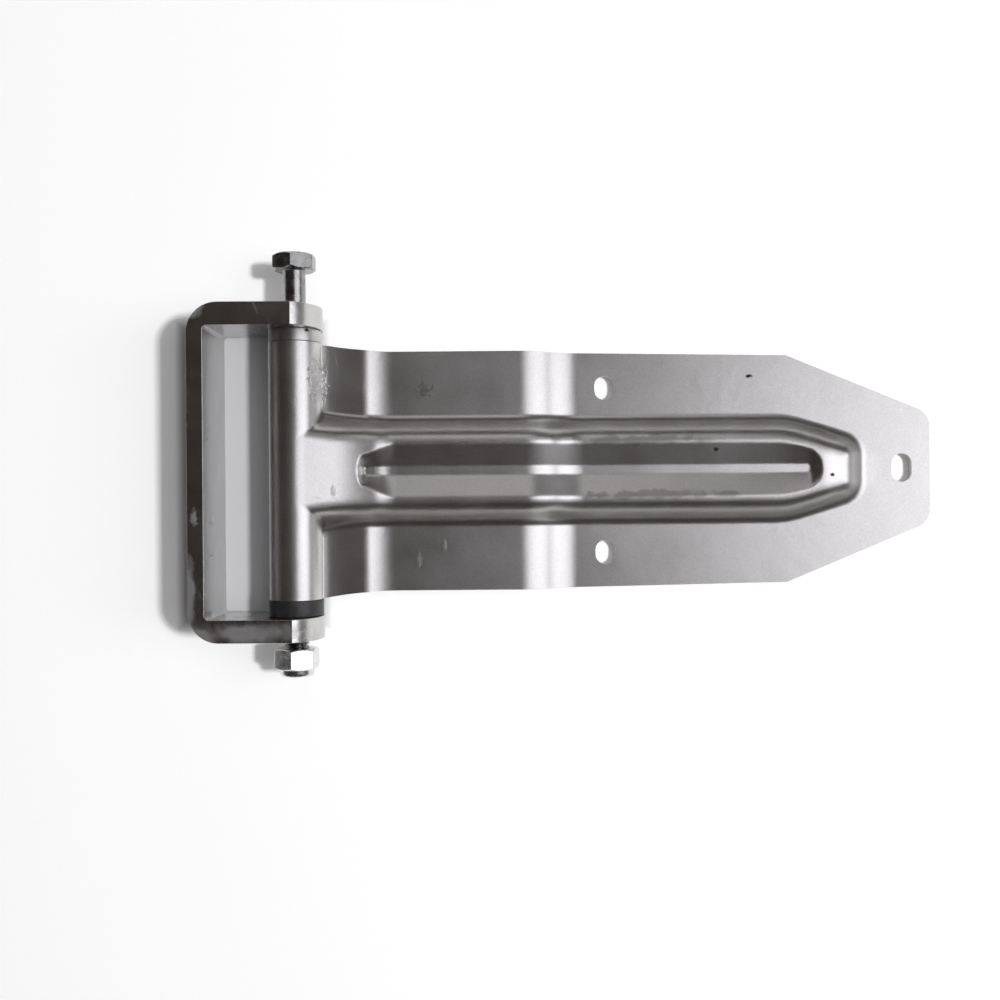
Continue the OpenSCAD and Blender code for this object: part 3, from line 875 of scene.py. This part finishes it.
def scratch_group():
    """Fine short scratches that run at an angle in the plane of the sheet."""
    tree, given, out = new_group("fine_scratches", {
        "Place": (0, 0, 0), "Scale": 900.0, "Length": 14.0, "Angle": 0.0, "Share": 0.06}, "Mask")
    turned_place = add(tree, "ShaderNodeVectorRotate", {"Vector": given["Place"], "Angle": given["Angle"]},
                       rotation_type="Z_AXIS")
    parts = add(tree, "ShaderNodeSeparateXYZ", {"Vector": turned_place.outputs[0]})
    drawn = add(tree, "ShaderNodeCombineXYZ", {
        "X": math_node(tree, "DIVIDE", parts.outputs["X"], given["Length"]),
        "Y": parts.outputs["Y"],
        "Z": math_node(tree, "DIVIDE", parts.outputs["Z"], given["Length"])})
    lines = add(tree, "ShaderNodeTexNoise", {"Vector": drawn.outputs[0], "Scale": given["Scale"],
                                             "Detail": 1.0, "Distortion": 0.3})
    patches = add(tree, "ShaderNodeTexNoise", {"Vector": given["Place"], "Scale": 60.0, "Detail": 2.0})
    limit = math_node(tree, "SUBTRACT", 0.78, given["Share"])
    thin = add(tree, "ShaderNodeMapRange", {"Value": lines.outputs["Fac"], "From Min": limit,
                                            "From Max": math_node(tree, "ADD", limit, 0.05)})
    here = remap(tree, patches.outputs["Fac"], 0.45, 0.62)
    tree.links.new(math_node(tree, "MULTIPLY", thin.outputs["Result"], here), out["Mask"])
    return tree


def patch_group():
    """One soft oval patch with a ragged edge, at a place given in metres."""
    tree, given, out = new_group("ragged_patch", {
        "Place": (0, 0, 0), "Centre": (0, 0, 0), "Size": (0.002, 0.002, 1.0), "Ragged": 0.4,
        "Ragged Scale": 900.0, "Softness": 0.5}, "Mask")
    away = add(tree, "ShaderNodeVectorMath", {0: given["Place"], 1: given["Centre"]}, operation="SUBTRACT")
    shares = add(tree, "ShaderNodeVectorMath", {0: away.outputs[0], 1: given["Size"]}, operation="DIVIDE")
    reach = add(tree, "ShaderNodeVectorMath", {0: shares.outputs[0]}, operation="LENGTH")
    noise = add(tree, "ShaderNodeTexNoise", {"Vector": given["Place"], "Scale": given["Ragged Scale"],
                                             "Detail": 3.0})
    rough = math_node(tree, "MULTIPLY", math_node(tree, "SUBTRACT", noise.outputs["Fac"], 0.5),
                      math_node(tree, "MULTIPLY", given["Ragged"], 4.0))
    edge = math_node(tree, "ADD", reach.outputs["Value"], rough)
    inside = add(tree, "ShaderNodeMapRange", {
        "Value": edge, "From Min": 1.0, "From Max": math_node(tree, "SUBTRACT", 1.0, given["Softness"])})
    tree.links.new(inside.outputs["Result"], out["Mask"])
    return tree


GRAIN, CLOUDS, SCRATCHES, PATCH = grain_group(), cloud_group(), scratch_group(), patch_group()


def effect(tree, group, place, **values):
    """An effect group placed in a material, with its own values."""
    node = tree.nodes.new("ShaderNodeGroup")
    node.node_tree = group
    tree.links.new(place, node.inputs["Place"])
    for label, value in values.items():
        node.inputs[label.replace("_", " ")].default_value = value
    return node.outputs[0]


def finish_base(name, metallic):
    """A new material: its tree, its shader and the place on the piece in metres."""
    material = bpy.data.materials.new(name)
    material.use_nodes = True
    tree = material.node_tree
    shader = tree.nodes["Principled BSDF"]
    shader.inputs["Metallic"].default_value = metallic
    return material, tree, shader, tree.nodes.new("ShaderNodeTexCoord").outputs["Object"]


def total(tree, masks):
    """The masks together, never above one."""
    together = masks[0]
    for mask in masks[1:]:
        together = math_node(tree, "MAXIMUM", together, mask)
    return together


def rubbed(tree, place, mask, scale):
    """Grain that shows only where the mask is."""
    return math_node(tree, "MULTIPLY", mask, effect(tree, GRAIN, place, Scale=scale))


def bumps(tree, shader, layers):
    """Feeds the shader's normal from layers of (height, depth in metres), one after another."""
    normal = None
    for height, depth in layers:
        bump = add(tree, "ShaderNodeBump", {"Height": height, "Distance": depth, "Strength": 1.0})
        if normal:
            tree.links.new(normal, bump.inputs["Normal"])
        normal = bump.outputs["Normal"]
    tree.links.new(normal, shader.inputs["Normal"])


def marks(tree, place, places):
    """All marks of one table as one mask, at any height of the piece."""
    masks = []
    for x, y, long, wide, ragged, scale in places:
        masks.append(effect(
            tree, PATCH, place, Centre=(x * MM, y * MM, 0), Size=(long * MM, wide * MM, ANY_HEIGHT),
            Ragged=ragged, Ragged_Scale=scale))
    return total(tree, masks)


def pressed_steel():
    """Satin pressed sheet with handling marks, stains along the rib and a scuffed barrel."""
    material, tree, shader, place = finish_base("pressed steel", 1)
    clouds = effect(tree, CLOUDS, place, Scale=38.0, Contrast=2.4)
    mottle = effect(tree, CLOUDS, place, Scale=210.0, Contrast=2.0)
    speckle = remap(tree, effect(tree, GRAIN, place, Scale=1900.0), 0.3, 0.7)
    grain = effect(tree, GRAIN, place, Scale=2600.0)
    scratches = math_node(tree, "MAXIMUM",
                          effect(tree, SCRATCHES, place, Angle=0.2, Share=0.05),
                          effect(tree, SCRATCHES, place, Angle=1.45, Share=0.04))
    specks = marks(tree, place, STRAP_SPECKS)
    stains = marks(tree, place, STRAP_STAINS)
    scuffs = marks(tree, place, STRAP_SCUFFS)
    torn = marks(tree, place, ROOT_TEARS)
    tone = plus(tree, scaled(tree, clouds, 0.5), (speckle, 0.5))
    colour = blend_colour(tree, tone, (0.56, 0.54, 0.53), (0.79, 0.775, 0.77))
    colour = blend_colour(tree, scaled(tree, stains, 0.55), colour, (0.3, 0.28, 0.27))
    colour = blend_colour(tree, scaled(tree, specks, 0.92), colour, (0.035, 0.033, 0.03))
    tree.links.new(colour, shader.inputs["Base Color"])
    rough = plus(tree, 0.34, (clouds, 0.05), (scratches, 0.12), (scuffs, 0.08), (specks, 0.3))
    tree.links.new(rough, shader.inputs["Roughness"])
    bumps(tree, shader, [
        (clouds, 0.00006), (mottle, 0.000018), (grain, 0.0000025), (scratches, -0.000006),
        (rubbed(tree, place, scuffs, 1100.0), 0.00009), (rubbed(tree, place, torn, 650.0), 0.0006)])
    return material


def bar_steel():
    """Darker, smoother hot-rolled bar, rougher where its corners are worn, where a paler colour also paints
    their highlight.
    """
    material, tree, shader, place = finish_base("bar steel", 1)
    clouds = effect(tree, CLOUDS, place, Scale=55.0, Contrast=2.6)
    grain = effect(tree, GRAIN, place, Scale=1900.0)
    scratches = effect(tree, SCRATCHES, place, Angle=1.2, Share=0.1)
    # These marks are real wear in roughness and bump, and a painted highlight in colour
    scuffs = marks(tree, place, BRACKET_WEAR_AND_HIGHLIGHTS)
    tone = plus(tree, scaled(tree, clouds, 0.6), (grain, 0.4))
    colour = blend_colour(tree, tone, (0.46, 0.45, 0.44), (0.68, 0.67, 0.66))
    # Paler colour on the worn corners: painted highlight
    colour = blend_colour(tree, scaled(tree, scuffs, 0.8), colour, (0.9, 0.89, 0.89))
    tree.links.new(colour, shader.inputs["Base Color"])
    rough = plus(tree, 0.2, (clouds, 0.07), (scratches, 0.1), (scuffs, 0.32))
    tree.links.new(rough, shader.inputs["Roughness"])
    bumps(tree, shader, [(clouds, 0.00012), (grain, 0.000004), (scratches, -0.000008),
                         (rubbed(tree, place, scuffs, 900.0), 0.00005)])
    return material


def turned_steel():
    """Turned collar, dulled, with fine rings and a pit in its rim, whose near-black colour paints the shade
    in its hollow.
    """
    material, tree, shader, place = finish_base("turned steel", 1)
    clouds = effect(tree, CLOUDS, place, Scale=160.0, Contrast=2.2)
    grain = effect(tree, GRAIN, place, Scale=2400.0)
    rings = add(tree, "ShaderNodeTexWave", {
        "Vector": place, "Scale": 900.0, "Distortion": 0.6, "Detail": 2.0}, bands_direction="Y")
    pits = marks(tree, place, COLLAR_PITS)
    tone = plus(tree, scaled(tree, clouds, 0.7), (grain, 0.3))
    colour = blend_colour(tree, tone, (0.50, 0.49, 0.48), (0.72, 0.71, 0.71))
    # Near black in the pit: painted shade of its hollow
    colour = blend_colour(tree, pits, colour, (0.03, 0.028, 0.026))
    tree.links.new(colour, shader.inputs["Base Color"])
    tree.links.new(plus(tree, 0.36, (clouds, 0.1)), shader.inputs["Roughness"])
    bumps(tree, shader, [(rings.outputs["Fac"], 0.000006), (grain, 0.000004), (pits, -0.0002)])
    return material


def plated_steel(name, dull, bright):
    """Plating, worn duller in patches."""
    material, tree, shader, place = finish_base(name, 1)
    clouds = effect(tree, CLOUDS, place, Scale=240.0, Contrast=2.4)
    grain = effect(tree, GRAIN, place, Scale=2200.0)
    scratches = effect(tree, SCRATCHES, place, Angle=0.7, Share=0.08, Length=6.0)
    colour = blend_colour(tree, clouds, dull, bright)
    tree.links.new(colour, shader.inputs["Base Color"])
    tree.links.new(plus(tree, 0.2, (clouds, 0.14), (scratches, 0.12)), shader.inputs["Roughness"])
    bumps(tree, shader, [(clouds, 0.000012), (grain, 0.000003), (scratches, -0.000006)])
    return material


def nylon(name, dark, pale, rough):
    """Moulded nylon with a fine skin and a little sheen."""
    material, tree, shader, place = finish_base(name, 0)
    clouds = effect(tree, CLOUDS, place, Scale=300.0, Contrast=2.0)
    grain = effect(tree, GRAIN, place, Scale=1800.0)
    tree.links.new(blend_colour(tree, clouds, dark, pale), shader.inputs["Base Color"])
    tree.links.new(plus(tree, rough, (grain, 0.12)), shader.inputs["Roughness"])
    bumps(tree, shader, [(clouds, 0.00003), (grain, 0.000008)])
    return material


def pale_floor():
    """White sheet, with painted shade: inside the bracket and close to its left it is grey and not lifted,
    standing for the bracket's shade.
    """
    material, tree, shader, place = finish_base("pale floor", 0)
    clouds = effect(tree, CLOUDS, place, Scale=3.0, Contrast=1.0)
    # Painted shade: inside this box the floor is grey and unlifted, standing for the bracket's shade
    inside = box_mask(tree, place, *(v * MM for v in PAINTED_SHADE_BOX))
    around = blend_colour(tree, clouds, (0.93, 0.93, 0.93), (0.95, 0.95, 0.95))
    tree.links.new(blend_colour(tree, inside, around, (0.62, 0.62, 0.64)), shader.inputs["Base Color"])
    shader.inputs["Roughness"].default_value = 0.95
    shader.inputs["Specular IOR Level"].default_value = 0
    path = add(tree, "ShaderNodeLightPath").outputs
    seen = math_node(tree, "MAXIMUM", path["Is Camera Ray"],
                     math_node(tree, "MAXIMUM", path["Is Glossy Ray"], path["Is Transmission Ray"]))
    # No lift inside the box, so the painted shade stays grey
    outside = remap(tree, inside, 0.0, 1.0, FLOOR_LIFT, 0.0)
    shader.inputs["Emission Color"].default_value = (1, 1, 1, 1)
    tree.links.new(math_node(tree, "MULTIPLY", seen, outside), shader.inputs["Emission Strength"])
    return material


def box_mask(tree, place, x, y, half_x, half_y):
    """One inside a box on the floor, falling softly to nothing round it."""
    parts = add(tree, "ShaderNodeSeparateXYZ", {"Vector": place}).outputs
    sides = []
    for axis, middle, half in ((0, x, half_x), (1, y, half_y)):
        away = math_node(tree, "ABSOLUTE", math_node(tree, "SUBTRACT", parts[axis], middle))
        sides.append(math_node(tree, "SUBTRACT", away, half))
    return remap(tree, math_node(tree, "MAXIMUM", *sides), PAINTED_SHADE_EDGE * MM, 0)


# Pieces in their finishes

satin = pressed_steel()
dark_bar = bar_steel()
turned_finish = turned_steel()
nut_plating = plated_steel("bright plating", (0.66, 0.665, 0.67), (0.84, 0.84, 0.855))
# The bolt's plating is coloured much darker than the nut's: painted shade for its dark head, not a duller
# finish
bolt_plating_painted_dark = plated_steel("plating darkened for painted shade", (0.22, 0.218, 0.215), (0.42, 0.417, 0.415))
black = nylon("black nylon", (0.012, 0.012, 0.013), (0.03, 0.03, 0.032), 0.34)
white = nylon("natural nylon", (0.72, 0.69, 0.62), (0.8, 0.78, 0.71), 0.42)

strap(satin)
bracket(dark_bar)
ring("collar_turned", COLLAR_LOW[1], COLLAR_HIGH[1], COLLAR_HIGH[2], ARM_BORE_D / 2, 0.3,
     "frame", "thrust_collar", turned_finish)
ring("washer_moulded", WASHER_LOW[1], WASHER_HIGH[1], WASHER_HIGH[2], BUSH_BORE_R, 0.4,
     "leaf", "thrust_washer", black)
ring("upper_bush_moulded", UPPER_LOW[1], UPPER_HIGH[1], UPPER_HIGH[2], BUSH_BORE_R, 0.25,
     "leaf", "upper_bush", white)
ring("lower_bush_moulded", LOWER_LOW[1], LOWER_HIGH[1], LOWER_HIGH[2], BUSH_BORE_R, 0.25,
     "leaf", "lower_bush", white)
bolt(bolt_plating_painted_dark)
nut(nut_plating)
ring("insert_moulded", INSERT_LOW[1], INSERT_HIGH[1], INSERT_HIGH[2], SHANK_R + 0.1, 0.2,
     "pin", "nut_insert", white)

# Floor, lamps and camera

FLOOR_SIZE = 6
FLOOR_GAP = 0.0002
LAMP_AIM = Vector((0.12, -0.01, 0))
LAMP_DISTANCE = 3
COOL_WHITE = (0.95, 0.96, 1.0)
CAMERA_AIM_X = 82.5
CAMERA_AIM_Y = -12.2
CAMERA_HEIGHT = 460
CAMERA_TURN = math.radians(-0.45)

bpy.ops.mesh.primitive_plane_add(size=FLOOR_SIZE, location=(0, 0, TABLE_Z * MM - FLOOR_GAP))
floor = bpy.context.object
floor.name = "floor"
floor.data.materials.append(pale_floor())


def lamp(name, lean_right, lean_up, width, height, power, colour=(1, 1, 1)):
    """A lamp aimed at the hinge, leaning from the zenith by two angles in degrees."""
    right, up = math.tan(math.radians(lean_right)), math.tan(math.radians(lean_up))
    place = LAMP_AIM + Vector((right, up, 1)).normalized() * LAMP_DISTANCE
    data = bpy.data.lights.new(name, "AREA")
    data.shape = "RECTANGLE"
    data.size = width
    data.size_y = height
    data.energy = power
    data.color = colour
    light = bpy.data.objects.new(name, data)
    light.location = place
    light.rotation_euler = (LAMP_AIM - place).to_track_quat("-Z", "Y").to_euler()
    bpy.context.scene.collection.objects.link(light)
    return light


lamp("soft box", 40, 0, 1.6, 2.8, 30.5, COOL_WHITE)
lamp("right strip", 66, 0, 1.06, 2.8, 1.6, COOL_WHITE)
lamp("side fill", 0, 40, 1.6, 1.6, 5.2)
# These two light the floor and the matt pieces, and no metal mirrors them
for name, lean, size, power in (("shadow key", 30, 0.24, 62), ("room light", 0, 3, 8)):
    matt_light = lamp(name, lean, 0, size, size, power)
    matt_light.visible_glossy = False

# Dim surroundings, a little brighter low on the right
world = bpy.data.worlds.new("studio")
bpy.context.scene.world = world
world.use_nodes = True
sky = world.node_tree
way = add(sky, "ShaderNodeSeparateXYZ", {"Vector": add(sky, "ShaderNodeTexCoord").outputs["Generated"]})
dim_side = remap(sky, way.outputs["X"], 0.92, 1.0)
sky.nodes["Background"].inputs["Strength"].default_value = 1
sky.links.new(blend_colour(sky, dim_side, (0.04, 0.034, 0.031), (0.2, 0.19, 0.185)),
              sky.nodes["Background"].inputs["Color"])

camera_data = bpy.data.cameras.new("camera")
camera_data.sensor_width = 36
camera_data.lens = 39.4
camera = bpy.data.objects.new("camera", camera_data)
camera.location = (
    (PIN_X + CAMERA_AIM_X) * MM, (BARREL_Y + CAMERA_AIM_Y) * MM, (TABLE_Z + CAMERA_HEIGHT) * MM)
camera.rotation_euler = (0, 0, CAMERA_TURN)
bpy.context.scene.collection.objects.link(camera)
bpy.context.scene.camera = camera
bpy.context.scene.view_settings.view_transform = "Standard"
